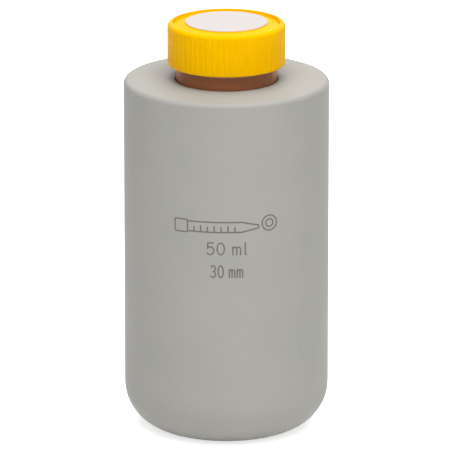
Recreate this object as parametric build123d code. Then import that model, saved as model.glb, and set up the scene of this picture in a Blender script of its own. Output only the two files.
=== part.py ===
"""Centrifuge tube adapter that holds a capped 50 ml conical tube.

The adapter is one turned block of plastic that drops into a wide rotor cavity and carries a narrow
tube in a blind bore. The tube stands on a conical seat and its neck stands out of the top face.
A ribbed screw cap with a loose seal disc under its roof closes the tube, on a single-start thread,
and a round write-on label lies on the raised boss of the cap.

Millimetres, +Z up, origin at the middle of the adapter's foot. The thread starts at +X.
"""

from build123d import *

import os
from math import asin, degrees

# Adapter
adapter_diameter = 61.0
adapter_floor = 7.3
foot_rounding = 13.5
top_edge_rounding = 1.4
bore_clearance = 0.2
mouth_rounding = 0.2
seat_clearance = 0.1

# Tube
tube_diameter = 30.2
tube_length = 113.6
tube_stand_out = 14.1
tube_wall = 1.2
neck_length = 22.0
body_taper = 1.4
cone_height = 15.5
tip_diameter = 6.0
rim_rounding = 0.3

# Screw thread, shared by the tube and the cap
thread_pitch = 3.5
thread_depth = 0.8
thread_foot_width = 1.5
thread_crest_width = 0.8
thread_radial_clearance = 0.2
thread_flank_clearance = 0.15
thread_run_out = 5.0
thread_sink = 0.25
tube_thread_turns = 1.75
tube_thread_below_rim = 1.1
cap_thread_turns = 1.25
cap_thread_start_turn = 0.375

# Screw cap
cap_wall = 1.4
cap_height = 12.45
cap_roof = 1.1
cap_top_rounding = 1.35
cap_edge_rounding = 0.3
cap_lead_in = 0.3
raised_rim_width = 1.6
dip_depth = 1.0
dip_outer_width = 0.2
dip_inner_width = 3.4
boss_step = 0.2
rib_count = 60
groove_depth = 0.15
groove_cutter_diameter = 1.0
first_groove_angle = 2.55
plain_band_height = 0.9

# Seal disc and label
seal_thickness = 1.0
seal_clearance = 0.2
label_margin = 0.15
label_thickness = 0.15
label_rise = 0.2

# Heights and radii that follow from the sizes above
adapter_radius = adapter_diameter / 2
tube_radius = tube_diameter / 2
shoulder_radius = tube_radius - body_taper / 2
cap_bore_radius = tube_radius + thread_depth + thread_radial_clearance
cap_radius = cap_bore_radius + cap_wall
raised_rim_inner_radius = cap_radius - raised_rim_width
dip_radius = raised_rim_inner_radius - dip_outer_width
boss_radius = dip_radius - dip_inner_width
tip_z = adapter_floor + seat_clearance
rim_z = tip_z + tube_length
adapter_height = rim_z - tube_stand_out
neck_z = rim_z - neck_length
roof_z = rim_z + seal_thickness
dip_z = roof_z + cap_roof
cap_top_z = dip_z + dip_depth
cap_bottom_z = cap_top_z - cap_height
label_z = cap_top_z + label_rise - label_thickness

# The tube's ridge ends under the rim. The cap's ridge hangs below it, flank to flank.
tube_thread_z = rim_z - tube_thread_below_rim - thread_foot_width / 2 - tube_thread_turns * thread_pitch
flank_slope = (thread_foot_width - thread_crest_width) / thread_depth
ridge_spacing = thread_foot_width - flank_slope * (cap_bore_radius - tube_radius) / 2
cap_thread_z = tube_thread_z - ridge_spacing - thread_flank_clearance


def upright_cylinder(radius, bottom, top):
    """A cylinder on the Z axis between two heights."""
    return Pos(Z=bottom) * Cylinder(radius, top - bottom, align=(Align.CENTER, Align.CENTER, Align.MIN))


def turned(outline):
    """The solid that a closed outline, drawn as radius across and height up, sweeps round the Z axis.

    Its seam is turned to -X, where no screw ridge ends.
    """
    return Rot(Z=180) * revolve(make_face(Plane.XZ * outline), Axis.Z)


def tube_envelope(radial_gap=0.0, end_gap=0.0, straight=False):
    """The tube's outer form as a full solid, or the straight hole with a conical seat that takes it.

    The tip is a flat of tip_diameter, the cone widens to the shoulder, and the body widens a little
    from there to the neck, as a moulded tube does. The hole has the neck's radius all the way.
    """
    cone_slope = (shoulder_radius - tip_diameter / 2) / cone_height
    widest = tube_radius + radial_gap
    body_foot = widest if straight else shoulder_radius
    cone_bottom = tip_z - end_gap
    cone_top = cone_bottom + (body_foot - tip_diameter / 2) / cone_slope
    outline = Polyline(
        (0, cone_bottom),
        (tip_diameter / 2, cone_bottom),
        (body_foot, cone_top),
        (widest, max(neck_z, cone_top + 1)),
        (widest, rim_z),
        (0, rim_z),
        close=True,
    )
    return turned(outline)


def run_out_cutter(root_radius, crest_radius, sign):
    """The block that planes the start (sign 1) or the end (sign -1) of a ridge down to its wall.

    Its working face passes through the wall at the ridge's end and meets the crest after
    thread_run_out, which sets the angle that it leans inwards.
    """
    lean = degrees(
        asin((root_radius**2 - crest_radius**2 + thread_run_out**2) / (2 * root_radius * thread_run_out))
    )
    outwards = crest_radius > root_radius
    side = Align.MIN if outwards else Align.MAX
    block = Box(
        3 * thread_depth,
        1.5 * thread_run_out,
        thread_pitch,
        align=(side, Align.CENTER, Align.CENTER),
    )
    return Pos(X=root_radius) * Rot(Z=sign * lean) * Pos(Y=sign * thread_run_out / 2) * block


def screw_ridge(root_radius, crest_radius, turns, start_turn, zero_z):
    """A helical ridge that stands on the wall at root_radius and reaches crest_radius.

    At turn t its middle is at zero_z + t * thread_pitch, from start_turn on. The ridge is sunk a
    little into its wall so that the two fuse, and both of its ends run out into the wall.
    """
    outwards = 1 if crest_radius > root_radius else -1
    sunk_radius = root_radius - outwards * thread_sink
    foot = thread_foot_width / 2 + thread_sink * flank_slope / 2
    crest = thread_crest_width / 2
    profile = Plane.XZ * Polyline(
        (sunk_radius, -foot), (crest_radius, -crest), (crest_radius, crest), (sunk_radius, foot), close=True
    )
    path = Helix(pitch=thread_pitch, height=turns * thread_pitch, radius=root_radius)
    ridge = sweep(sections=make_face(profile), path=path, is_frenet=True)
    ridge -= run_out_cutter(root_radius, crest_radius, 1)
    end_cutter = run_out_cutter(root_radius, crest_radius, -1)
    ridge -= Pos(Z=turns * thread_pitch) * Rot(Z=360 * turns) * end_cutter
    return Pos(Z=zero_z + start_turn * thread_pitch) * Rot(Z=360 * start_turn) * ridge


def make_adapter_body():
    """The grey block: a wide rounding round its foot, a broken top edge and the tube's bore."""
    block = upright_cylinder(adapter_radius, 0, adapter_height)
    block = fillet(block.edges().group_by(Axis.Z)[0], foot_rounding)
    block = fillet(block.edges().group_by(Axis.Z)[-1], top_edge_rounding)
    body = block - tube_envelope(bore_clearance, seat_clearance, straight=True)
    mouth = body.edges().filter_by(GeomType.CIRCLE).group_by(Axis.Z)[-1].sort_by(SortBy.RADIUS)[0]
    return fillet(mouth, mouth_rounding)


def make_tube():
    """The clear tube: an even wall inside its outer form, a rounded rim and one screw ridge."""
    outside = tube_envelope()
    tip = outside.edges().filter_by(GeomType.CIRCLE).group_by(Axis.Z)[0]
    outside = fillet(tip, tip_diameter / 3)
    shell = offset(outside, amount=-tube_wall, openings=outside.faces().sort_by(Axis.Z)[-1])
    rim = shell.edges().filter_by(GeomType.CIRCLE).group_by(Axis.Z)[-1]
    shell = fillet(rim, rim_rounding)
    ridge = screw_ridge(tube_radius, tube_radius + thread_depth, tube_thread_turns, 0, tube_thread_z)
    return shell + ridge


def make_seal():
    """The soft disc between the tube's rim and the cap's roof."""
    return upright_cylinder(cap_bore_radius - seal_clearance, rim_z, roof_z)


def cap_grooves():
    """The cutters of the grip, one for each groove between two ribs."""
    cutter_radius = groove_cutter_diameter / 2
    centre_radius = cap_radius - groove_depth + cutter_radius
    cutter = upright_cylinder(cutter_radius, cap_bottom_z + plain_band_height, cap_top_z + cutter_radius)
    return [Rot(Z=first_groove_angle) * place * cutter for place in PolarLocations(centre_radius, rib_count)]


def make_screw_cap():
    """The yellow cap: ribbed skirt, round shoulder, raised rim, bore and screw ridge.

    Inside the raised rim is a steep step down, and from its foot a low cone rises to the boss.
    """
    crest_radius = cap_radius - cap_top_rounding
    shoulder_z = cap_top_z - cap_top_rounding
    shoulder = CenterArc((crest_radius, shoulder_z), cap_top_rounding, 0, 90)
    rest = Polyline(
        (crest_radius, cap_top_z),
        (raised_rim_inner_radius, cap_top_z),
        (dip_radius, dip_z),
        (boss_radius, label_z - boss_step),
        (boss_radius, label_z),
        (0, label_z),
        (0, cap_bottom_z),
        (cap_radius, cap_bottom_z),
        (cap_radius, shoulder_z),
    )
    body = turned(shoulder + rest)
    outer_edges = body.edges().filter_by(GeomType.CIRCLE).sort_by(SortBy.RADIUS)[-2:]
    body = fillet(outer_edges.sort_by(Axis.Z)[0], cap_edge_rounding)
    body -= cap_grooves()
    body -= upright_cylinder(cap_bore_radius, cap_bottom_z, roof_z)
    mouth = body.edges().filter_by(GeomType.CIRCLE).group_by(Axis.Z)[0].sort_by(SortBy.RADIUS)[0]
    body = chamfer(mouth, cap_lead_in)
    ridge = screw_ridge(
        cap_bore_radius,
        cap_bore_radius - thread_depth,
        cap_thread_turns,
        cap_thread_start_turn,
        cap_thread_z,
    )
    return body + ridge


def make_label():
    """The white write-on disc on the cap's boss, a little above the raised rim."""
    return upright_cylinder(boss_radius - label_margin, label_z, label_z + label_thickness)


def main():
    """Builds each piece and writes it to its own STEP file."""
    os.makedirs("parts", exist_ok=True)
    pieces = {
        "adapter_body": make_adapter_body(),
        "tube": make_tube(),
        "seal_disc": make_seal(),
        "screw_cap": make_screw_cap(),
        "cap_label": make_label(),
    }
    for name, piece in pieces.items():
        export_step(piece, f"parts/{name}.step")
    opening_turns = tube_thread_turns - cap_thread_start_turn
    print(f"cap: {360 * opening_turns:.1f} degrees to open, {opening_turns * thread_pitch:.4f} mm of lift")


main()
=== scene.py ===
"""Looks of a centrifuge tube adapter with a capped tube: materials, markings, light and camera."""

import math

import bpy
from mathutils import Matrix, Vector


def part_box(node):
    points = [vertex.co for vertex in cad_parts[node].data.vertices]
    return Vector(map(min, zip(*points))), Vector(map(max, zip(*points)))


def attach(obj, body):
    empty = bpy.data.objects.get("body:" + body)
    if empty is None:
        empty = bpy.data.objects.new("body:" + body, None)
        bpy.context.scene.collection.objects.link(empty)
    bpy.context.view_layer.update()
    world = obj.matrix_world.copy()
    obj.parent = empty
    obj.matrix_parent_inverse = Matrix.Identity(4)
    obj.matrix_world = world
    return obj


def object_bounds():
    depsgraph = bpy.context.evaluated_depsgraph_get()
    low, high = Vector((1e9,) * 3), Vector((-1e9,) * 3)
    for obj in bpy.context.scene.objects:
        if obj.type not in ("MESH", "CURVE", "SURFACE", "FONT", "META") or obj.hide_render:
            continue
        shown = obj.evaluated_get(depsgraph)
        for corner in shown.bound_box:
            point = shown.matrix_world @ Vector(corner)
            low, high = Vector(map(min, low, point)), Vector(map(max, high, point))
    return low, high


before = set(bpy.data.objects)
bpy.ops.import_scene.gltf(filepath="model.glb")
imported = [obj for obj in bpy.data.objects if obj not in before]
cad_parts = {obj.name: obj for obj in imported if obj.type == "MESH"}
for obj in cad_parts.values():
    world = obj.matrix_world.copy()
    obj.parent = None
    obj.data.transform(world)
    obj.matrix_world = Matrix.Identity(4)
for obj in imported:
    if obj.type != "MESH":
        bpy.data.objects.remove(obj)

cad_box = [list(corner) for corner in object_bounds()]

MM = 0.001

# Radius read from the frame
adapter_low, adapter_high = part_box("adapter_body")
ADAPTER_RADIUS = (adapter_high[1] - adapter_low[1]) / 2

# Camera, as in the photograph
IMAGE_WIDTH = 450
FOCAL_PIXELS = 6140.45
SENSOR_MM = 36
CAMERA_PLACE = (0, -1.76053, 0.57176)
CAMERA_AIM = (-0.00043, 0, 0.06158)
CLIP_START = 0.05

# Square lamps: name, place, side and power. All of them face the object's axis at AIM_HEIGHT.
SOFTBOXES = [
    ("key_above", (0.1, -0.1, 1.3), 1.2, 11.6),
    ("key_front", (0.05, -0.75, 1.15), 1.2, 12.5),
    ("fill_back", (0.2, 1.2, 1.0), 1.0, 3.0),
]
AIM_HEIGHT = 0.06

# Sky and floor. The lift is the glow that makes the floor white to the camera and in reflections.
SKY_STRENGTH = 0.1
FLOOR_COLOUR = 0.95
FLOOR_LIFT = 0.72
FLOOR_REACH = 6.0

# Markings, in millimetres: the strokes' width, how far they stand out of the wall and sink into it,
# the longest straight step along the wall, and the distance under which two points are one
STROKE = 0.42
MARK_PROUD = 0.012
MARK_SUNK = 0.03
CURVE_STEP = 0.5
SAME_POINT = 1e-6

# The smallest cosine that a mitre is cut by, and the steps of a round end, which stops a share of
# one step short of its tip
MITRE_LIMIT = 0.5
ROUND_END_STEPS = 4
ROUND_END_SHORTFALL = 0.35

# Sockets of a Mix node that mixes colours
MIX_FIRST, MIX_SECOND, MIX_RESULT = 6, 7, 2


def srgb(red, green, blue, alpha=1.0):
    """A colour written as 0 to 255 screen values, as the linear values that nodes take."""

    def linear(value):
        value /= 255
        return value / 12.92 if value <= 0.04045 else ((value + 0.055) / 1.055) ** 2.4

    return (linear(red), linear(green), linear(blue), alpha)


class Nodes:
    """A material's node tree with short calls to add and join nodes."""

    def __init__(self, name):
        self.material = bpy.data.materials.new(name)
        self.material.use_nodes = True
        self.tree = self.material.node_tree
        self.shader = self.tree.nodes["Principled BSDF"]
        self.output = self.tree.nodes["Material Output"]
        self.place = self.add("ShaderNodeTexCoord").outputs["Object"]

    def add(self, kind, values=None, **settings):
        """A node with its settings, and with values or links for its inputs."""
        node = self.tree.nodes.new(kind)
        for name, value in settings.items():
            setattr(node, name, value)
        for name, value in (values or {}).items():
            self.feed(node.inputs[name], value)
        return node

    def feed(self, socket, value):
        """Sets an input, or links another node's output to it."""
        if isinstance(value, bpy.types.NodeSocket):
            self.tree.links.new(value, socket)
        else:
            socket.default_value = value

    def set(self, **values):
        """Sets or links the shader's inputs, with _ for the spaces in their names."""
        for name, value in values.items():
            self.feed(self.shader.inputs[name.replace("_", " ")], value)

    def noise(self, size, detail=2.0, roughness=0.5, place=None):
        """Noise whose features are about size metres across, from 0 to 1."""
        values = {
            "Vector": place or self.place,
            "Scale": 1 / size,
            "Detail": detail,
            "Roughness": roughness,
        }
        return self.add("ShaderNodeTexNoise", values).outputs["Fac"]

    def spread(self, value, low, high, start=0.3, end=0.7):
        """Maps a value from start..end to low..high."""
        return self.add(
            "ShaderNodeMapRange",
            {"Value": value, "From Min": start, "From Max": end, "To Min": low, "To Max": high},
        ).outputs["Result"]

    def mix(self, factor, first, second):
        """A colour between two colours."""
        node = self.add("ShaderNodeMix", data_type="RGBA")
        self.feed(node.inputs["Factor"], factor)
        self.feed(node.inputs[MIX_FIRST], first)
        self.feed(node.inputs[MIX_SECOND], second)
        return node.outputs[MIX_RESULT]

    def maths(self, operation, first, second=0.0):
        """A sum, product or other operation on two values."""
        node = self.add("ShaderNodeMath", operation=operation)
        self.feed(node.inputs[0], first)
        self.feed(node.inputs[1], second)
        return node.outputs[0]

    def bump(self, height, depth, strength=1.0, under=None):
        """Surface relief depth metres high, on top of an earlier relief."""
        values = {"Height": height, "Distance": depth, "Strength": strength}
        node = self.add("ShaderNodeBump", values)
        if under is not None:
            self.feed(node.inputs["Normal"], under)
        return node.outputs["Normal"]

    def finish(self, relief=None):
        """Links the relief and returns the material."""
        if relief is not None:
            self.set(Normal=relief)
        return self.material


def adapter_plastic():
    """Light grey turned plastic: soft mottling, fine speckle and faint tool rings."""
    n = Nodes("adapter_plastic")
    cloud = n.noise(size=0.022, detail=3)
    speckle = n.noise(size=0.0005, detail=2)
    tone = n.mix(n.spread(cloud, 0, 1), srgb(167, 166, 161), srgb(173, 171, 165))
    colour = n.mix(n.spread(speckle, 0, 0.5), tone, srgb(178, 177, 172))
    parts = n.add("ShaderNodeSeparateXYZ", {"Vector": n.place})
    x, y, z = (parts.outputs[axis] for axis in "XYZ")
    radius = n.maths("SQRT", n.maths("ADD", n.maths("MULTIPLY", x, x), n.maths("MULTIPLY", y, y)))
    section = n.add("ShaderNodeCombineXYZ", {"X": radius, "Y": 0.0, "Z": z}).outputs["Vector"]
    rings = n.noise(size=0.00022, detail=1, place=section)
    grain = n.noise(size=0.00012, detail=2)
    relief = n.bump(rings, depth=0.0000025)
    relief = n.bump(grain, depth=0.000004, under=relief)
    relief = n.bump(cloud, depth=0.00004, strength=0.4, under=relief)
    n.set(
        Base_Color=colour,
        Roughness=n.spread(cloud, 0.50, 0.58),
        IOR=1.49,
        Specular_IOR_Level=0.15,
    )
    return n.finish(relief)


def tube_plastic():
    """Clear plastic with light scuffs and an amber tint, which is painted shade and warm light: the
    yellow cap's light and the dark bore seen through the wall.
    """
    n = Nodes("tube_plastic")
    scuffs = n.noise(size=0.0016, detail=4, roughness=0.6)
    wave = n.noise(size=0.009, detail=1)
    relief = n.bump(wave, depth=0.00006)
    n.set(
        # Amber base colour: painted shade and warm light, standing in for the cap's yellow light and
        # the dark bore seen through the clear wall.
        Base_Color=srgb(236, 156, 96),
        Roughness=n.spread(scuffs, 0.02, 0.08),
        IOR=1.45,
        Transmission_Weight=0.72,
    )
    return n.finish(relief)


def seal_foam():
    """White closed-cell foam."""
    n = Nodes("seal_foam")
    cell_size = 0.0004
    cells = n.add("ShaderNodeTexVoronoi", {"Vector": n.place, "Scale": 1 / cell_size})
    patch = n.noise(size=0.002)
    tone = n.mix(n.spread(patch, 0, 1), srgb(236, 235, 230), srgb(245, 244, 240))
    n.set(Base_Color=tone, Roughness=0.85)
    return n.finish(n.bump(cells.outputs["Distance"], depth=0.00005))


def cap_plastic():
    """Moulded yellow plastic: semi-gloss, with a fine spark-eroded grain."""
    n = Nodes("cap_plastic")
    cloud = n.noise(size=0.006, detail=2)
    grain = n.noise(size=0.00016, detail=2)
    tone = n.mix(n.spread(cloud, 0, 1), srgb(255, 192, 0), srgb(255, 196, 2))
    relief = n.bump(grain, depth=0.000006)
    relief = n.bump(cloud, depth=0.00003, strength=0.5, under=relief)
    n.set(
        Base_Color=tone,
        Roughness=n.spread(grain, 0.36, 0.48),
        IOR=1.50,
        Specular_IOR_Level=0.05,
        Specular_Tint=srgb(255, 205, 60),
    )
    return n.finish(relief)


def label_paper():
    """White write-on paper with a fine fibre."""
    n = Nodes("label_paper")
    stretched = n.add("ShaderNodeMapping", {"Vector": n.place, "Scale": (1, 3, 1)})
    fibre = n.noise(size=0.0006, detail=3, place=stretched.outputs["Vector"])
    tone = n.mix(n.spread(fibre, 0, 1), srgb(210, 203, 203), srgb(215, 209, 208))
    n.set(Base_Color=tone, Roughness=0.75, Specular_IOR_Level=0.2)
    return n.finish(n.bump(fibre, depth=0.000008))


def marking_ink():
    """Dark grey-brown laser marking, a little uneven."""
    n = Nodes("marking_ink")
    patch = n.noise(size=0.0003, detail=3)
    tone = n.mix(n.spread(patch, 0, 1), srgb(104, 95, 92), srgb(122, 113, 110))
    n.set(Base_Color=tone, Roughness=0.7)
    return n.finish(n.bump(patch, depth=0.000005))


def dress(node, material):
    """Gives a CAD node its material."""
    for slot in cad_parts[node].material_slots:
        slot.material = material


dress("adapter_body", adapter_plastic())
dress("tube", tube_plastic())
dress("seal_disc", seal_foam())
dress("screw_cap", cap_plastic())
dress("cap_label", label_paper())


def arc(centre_u, centre_v, radius_u, radius_v, start, end, steps=18):
    """Points of an elliptical arc between two angles in degrees.

    The markings' points are millimetres across (u) and up (v) on the adapter's wall.
    """
    turns = [math.radians(start + (end - start) * i / steps) for i in range(steps + 1)]
    return [(centre_u + radius_u * math.cos(t), centre_v + radius_v * math.sin(t)) for t in turns]


# Each glyph's strokes in a box of 1 by 1, and how many widths the pen moves on after it
GLYPHS = {
    "0": [arc(0.5, 0.5, 0.5, 0.5, 90, 450, 32)],
    "3": [
        arc(0.46, 0.745, 0.42, 0.255, 150, -90, 16) + arc(0.46, 0.25, 0.5, 0.25, 90, -150, 18)[1:],
    ],
    "5": [[(0.92, 1), (0.14, 1), (0.08, 0.54)] + arc(0.46, 0.33, 0.52, 0.33, 112, -145, 18)],
    "m": [
        [(0, 0), (0, 0.66)],
        [(0, 0.42)] + arc(0.27, 0.44, 0.27, 0.22, 165, 0, 10) + [(0.54, 0)],
        [(0.54, 0.42)] + arc(0.81, 0.44, 0.27, 0.22, 165, 0, 10) + [(1.08, 0)],
    ],
    "l": [[(0.2, 1), (0.2, 0.12)] + arc(0.36, 0.12, 0.16, 0.12, 180, 270, 6)],
}
ADVANCE = {"0": 1.45, "3": 1.45, "5": 1.45, "m": 1.55, "l": 0.8, " ": 0.75}


def written(text, middle_u, foot_v, width, height):
    """The strokes of a short text, centred on middle_u. A glyph's box is width by height."""
    strokes, pen = [], 0.0
    for letter in text:
        for line in GLYPHS.get(letter, []):
            strokes.append([(pen + u * width, v * height) for u, v in line])
        pen += ADVANCE[letter] * width
    flat = [u for line in strokes for u, _ in line]
    shift = middle_u - (min(flat) + max(flat)) / 2
    return [[(u + shift, v + foot_v) for u, v in line] for line in strokes]


def rounded_frame(left, right, bottom, top, radius):
    """A closed rectangle with round corners."""
    corners = [
        (right - radius, top - radius, 90, 0),
        (right - radius, bottom + radius, 0, -90),
        (left + radius, bottom + radius, -90, -180),
        (left + radius, top - radius, -180, -270),
    ]
    points = [p for u, v, start, end in corners for p in arc(u, v, radius, radius, start, end, 8)]
    return points + points[:1]


def lying_tube(left, right, middle, height, cap_share=0.16, cone_share=0.2, tick_count=7):
    """A plain sign for a conical tube on its side, cap to the left, with every second tick longer."""
    cap_half = height / 2
    body_half = 0.8 * cap_half
    tip_half = 0.22 * cap_half
    cap_right = left + cap_share * (right - left)
    cone_left = right - cone_share * (right - left)
    upper = [(cap_right, body_half), (cone_left, body_half), (right, tip_half)]
    body = [(u, middle + v) for u, v in upper] + [(u, middle - v) for u, v in upper[::-1]]
    cap = rounded_frame(left, cap_right, middle - cap_half, middle + cap_half, radius=0.5)
    ticks = []
    for i in range(1, tick_count + 1):
        u = cap_right + (cone_left - cap_right) * i / (tick_count + 1)
        rise = (-0.05 if i % 2 else 0.15) * cap_half
        ticks.append([(u, middle - body_half), (u, middle + rise)])
    return [cap, body] + ticks


def ring_sign(middle_u, middle_v, radius):
    """A plain sign for a round cavity: two rings, the inner one half as wide."""
    return [arc(middle_u, middle_v, r, r, 90, 450, steps=40) for r in (radius, radius / 2)]


def divided(points):
    """The same line with no step longer than CURVE_STEP, so that it follows the wall."""
    out = [points[0]]
    for (u0, v0), (u1, v1) in zip(points, points[1:]):
        count = max(1, math.ceil(math.hypot(u1 - u0, v1 - v0) / CURVE_STEP))
        for i in range(1, count + 1):
            out.append((u0 + (u1 - u0) * i / count, v0 + (v1 - v0) * i / count))
    return out


def sections(points):
    """Left and right edge points along a stroke, mitred at its corners and round at its ends."""
    points = [p for i, p in enumerate(points) if i == 0 or math.dist(p, points[i - 1]) > SAME_POINT]
    points = divided(points)
    half = STROKE / 2
    closed = math.dist(points[0], points[-1]) < SAME_POINT
    if closed:
        points = points[:-1]
    count = len(points)
    edges = []
    for i, (u, v) in enumerate(points):
        before = points[i - 1] if closed or i else None
        after = points[(i + 1) % count] if closed or i < count - 1 else None
        runs = []
        for a, b in ((before, (u, v)), ((u, v), after)):
            if a and b:
                length = math.dist(a, b)
                runs.append(((b[0] - a[0]) / length, (b[1] - a[1]) / length))
        along = (sum(r[0] for r in runs), sum(r[1] for r in runs))
        size = math.hypot(*along)
        along = (along[0] / size, along[1] / size)
        reach = half / max(MITRE_LIMIT, along[0] * runs[0][0] + along[1] * runs[0][1])
        side = (-along[1] * reach, along[0] * reach)
        edges.append(((u + side[0], v + side[1]), (u - side[0], v - side[1])))
        if closed or (before and after):
            continue
        outwards = -1 if after else 1
        round_end = []
        for step in range(1, ROUND_END_STEPS + 1):
            turn = math.pi / 2 * step / (ROUND_END_STEPS + ROUND_END_SHORTFALL)
            out_u = u + outwards * along[0] * half * math.sin(turn)
            out_v = v + outwards * along[1] * half * math.sin(turn)
            thin = math.cos(turn)
            round_end.append(
                (
                    (out_u + side[0] * thin, out_v + side[1] * thin),
                    (out_u - side[0] * thin, out_v - side[1] * thin),
                )
            )
        if after:
            edges = round_end[::-1] + edges
        else:
            edges += round_end
    return edges, closed


def on_wall(u, v, height):
    """The place in metres of a point of the marking, height millimetres proud of the wall."""
    angle = u * MM / ADAPTER_RADIUS
    radius = ADAPTER_RADIUS + height * MM
    return (radius * math.sin(angle), -radius * math.cos(angle), v * MM)


def stroke_mesh(name, strokes, material):
    """One mesh of thin closed ribbons, one for each stroke, laid into the adapter's wall.

    A ribbon's cross-section has four corners.
    """
    vertices, faces = [], []
    for points in strokes:
        edges, closed = sections(points)
        base = len(vertices)
        for left, right in edges:
            vertices += [
                on_wall(*left, MARK_PROUD),
                on_wall(*right, MARK_PROUD),
                on_wall(*right, -MARK_SUNK),
                on_wall(*left, -MARK_SUNK),
            ]
        count = len(edges)
        for i in range(count if closed else count - 1):
            a, b = base + 4 * i, base + 4 * ((i + 1) % count)
            faces += [(a + k, b + k, b + (k + 1) % 4, a + (k + 1) % 4) for k in range(4)]
        if not closed:
            last = base + 4 * (count - 1)
            faces += [(base, base + 1, base + 2, base + 3), (last + 3, last + 2, last + 1, last)]
    mesh = bpy.data.meshes.new(name)
    mesh.from_pydata(vertices, [], faces)
    mesh.validate()
    mesh.materials.append(material)
    piece = bpy.data.objects.new(name, mesh)
    bpy.context.collection.objects.link(piece)
    return piece


marks = lying_tube(left=-15.8, right=9.6, middle=69.6, height=3.8)
marks += ring_sign(middle_u=13.0, middle_v=70.4, radius=2.3)
marks += written("50 ml", middle_u=0.1, foot_v=61.25, width=2.1, height=3.6)
marks += written("30 mm", middle_u=0.1, foot_v=54.3, width=1.5, height=3.6)
marking = stroke_mesh("marking", marks, marking_ink())
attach(marking, "adapter")


def background_seen(tree):
    """1 for rays from the camera, in a reflection or through the clear tube, 0 for light."""

    def larger(first, second):
        node = tree.nodes.new("ShaderNodeMath")
        node.operation = "MAXIMUM"
        tree.links.new(first, node.inputs[0])
        tree.links.new(second, node.inputs[1])
        return node.outputs[0]

    rays = tree.nodes.new("ShaderNodeLightPath").outputs
    return larger(larger(rays["Is Camera Ray"], rays["Is Glossy Ray"]), rays["Is Transmission Ray"])


def floor_material():
    """White floor that the camera sees lifted to white, with the object's shadow kept."""
    n = Nodes("floor_white")
    n.set(
        Base_Color=(FLOOR_COLOUR, FLOOR_COLOUR, FLOOR_COLOUR, 1),
        Roughness=0.9,
        Specular_IOR_Level=0.0,
        Emission_Color=(1, 1, 1, 1),
        Emission_Strength=n.maths("MULTIPLY", background_seen(n.tree), FLOOR_LIFT),
    )
    return n.finish()


corner_signs = [(-1, -1), (1, -1), (1, 1), (-1, 1)]
floor_corners = [(x * FLOOR_REACH, y * FLOOR_REACH, cad_box[0][2]) for x, y in corner_signs]
floor_mesh = bpy.data.meshes.new("floor")
floor_mesh.from_pydata(floor_corners, [], [(0, 1, 2, 3)])
floor_mesh.materials.append(floor_material())
floor = bpy.data.objects.new("floor", floor_mesh)
bpy.context.collection.objects.link(floor)


def make_world():
    """White to the camera and in reflections, and a plain even sky as light."""
    world = bpy.data.worlds.new("studio")
    world.use_nodes = True
    tree = world.node_tree
    sky = tree.nodes["Background"]
    strength = tree.nodes.new("ShaderNodeMapRange")
    strength.inputs["To Min"].default_value = SKY_STRENGTH
    strength.inputs["To Max"].default_value = 1.0
    tree.links.new(background_seen(tree), strength.inputs["Value"])
    tree.links.new(strength.outputs["Result"], sky.inputs["Strength"])
    sky.inputs["Color"].default_value = (1, 1, 1, 1)
    bpy.context.scene.world = world


def add_aimed(name, data, place, aim):
    """A lamp or camera at a place, turned to face another."""
    holder = bpy.data.objects.new(name, data)
    holder.location = place
    holder.rotation_euler = (Vector(aim) - Vector(place)).to_track_quat("-Z", "Y").to_euler()
    bpy.context.collection.objects.link(holder)
    return holder


def add_softbox(name, place, side, power):
    """A square area lamp that faces the object's axis."""
    lamp = bpy.data.lights.new(name, "AREA")
    lamp.shape = "SQUARE"
    lamp.size = side
    lamp.energy = power
    add_aimed(name, lamp, place, (0, 0, AIM_HEIGHT))


def add_camera():
    """The camera of the photograph."""
    camera_data = bpy.data.cameras.new("camera")
    camera_data.sensor_width = SENSOR_MM
    camera_data.lens = FOCAL_PIXELS / IMAGE_WIDTH * SENSOR_MM
    camera_data.clip_start = CLIP_START
    bpy.context.scene.camera = add_aimed("camera", camera_data, CAMERA_PLACE, CAMERA_AIM)


make_world()
for softbox in SOFTBOXES:
    add_softbox(*softbox)
add_camera()
bpy.context.scene.view_settings.view_transform = "Standard"
